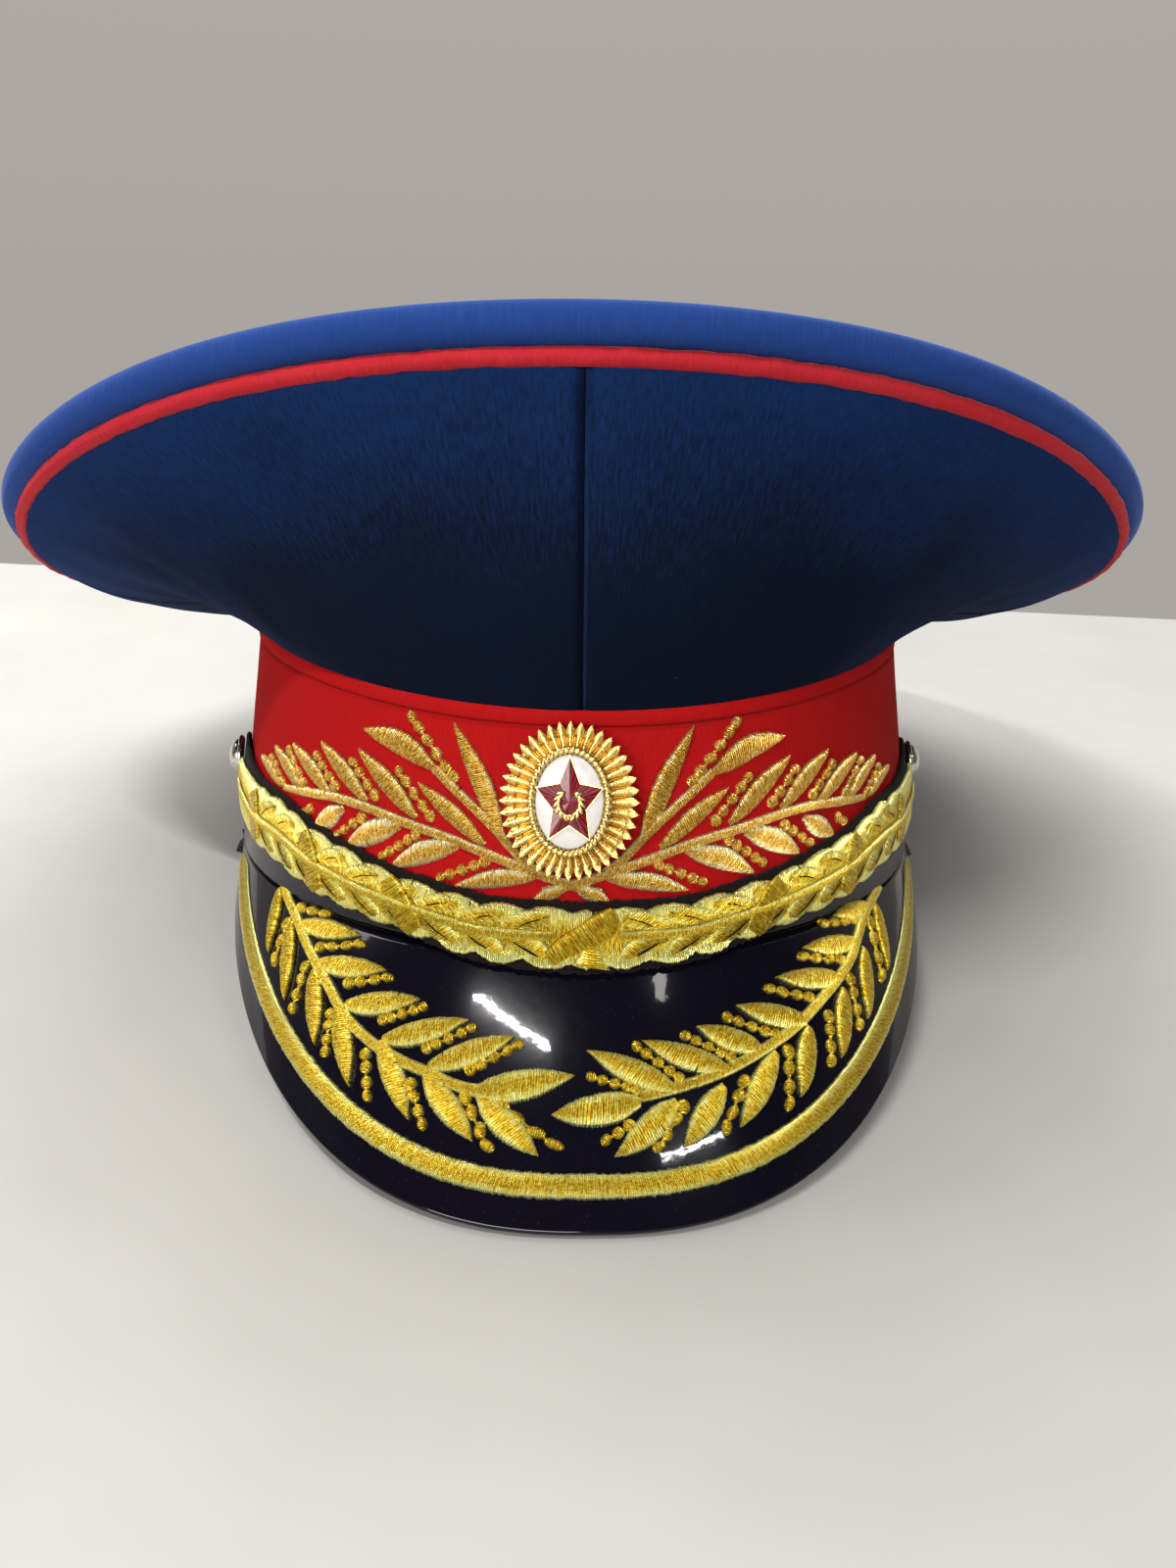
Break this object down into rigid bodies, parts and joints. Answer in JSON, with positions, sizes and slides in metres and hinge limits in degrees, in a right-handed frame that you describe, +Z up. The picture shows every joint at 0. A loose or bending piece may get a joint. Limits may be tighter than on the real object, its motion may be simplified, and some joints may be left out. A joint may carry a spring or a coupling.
{
  "type": "peaked cap",
  "caption": "Peaked dress cap: wide blue cloth crown with red piping, red band, black lacquered peak, gold-embroidered laurels, gold strap, side buttons and an oval rayed cockade.",
  "frame": {"origin": "centre of the bounding box on the surface that the cap stands on", "axes": "+Z up, the cap's front towards -Y, the wearer's left towards +X; the cap stands on the tip of its peak and the back of its band"},
  "size_m": [0.29, 0.306, 0.1434],
  "materials": {
    "blue_cloth": "napped wool cloth",
    "red_cloth": "napped wool cloth",
    "peak_lacquer": "black lacquered leather, mirror gloss",
    "gold_thread": "satin-stitched metallic thread",
    "black_felt": "matt felt",
    "gilt_metal": "polished gilt",
    "button_metal": "polished white metal",
    "white_enamel": "glossy vitreous enamel",
    "red_enamel": "translucent dark red vitreous enamel"
  },
  "bodies": {
    "root": {"cap_band": "red_cloth", "band_welt": "red_cloth", "crown_piping": "red_cloth", "crown_front_right": "blue_cloth", "crown_front_left": "blue_cloth", "crown_back_left": "blue_cloth", "crown_back_right": "blue_cloth", "crown_top": "blue_cloth", "peak": "peak_lacquer", "peak_border": "gold_thread", "strap_backing": "black_felt", "strap_gold": "gold_thread", "button_right": "button_metal", "button_left": "button_metal", "cockade_rays": "gilt_metal", "cockade_rope": "gilt_metal", "cockade_enamel": "white_enamel", "cockade_star": "red_enamel", "cockade_device": "gilt_metal", "band_laurel_right": "gold_thread", "band_laurel_left": "gold_thread", "peak_laurel_right": "gold_thread", "peak_laurel_left": "gold_thread"}
  },
  "joints": []
}
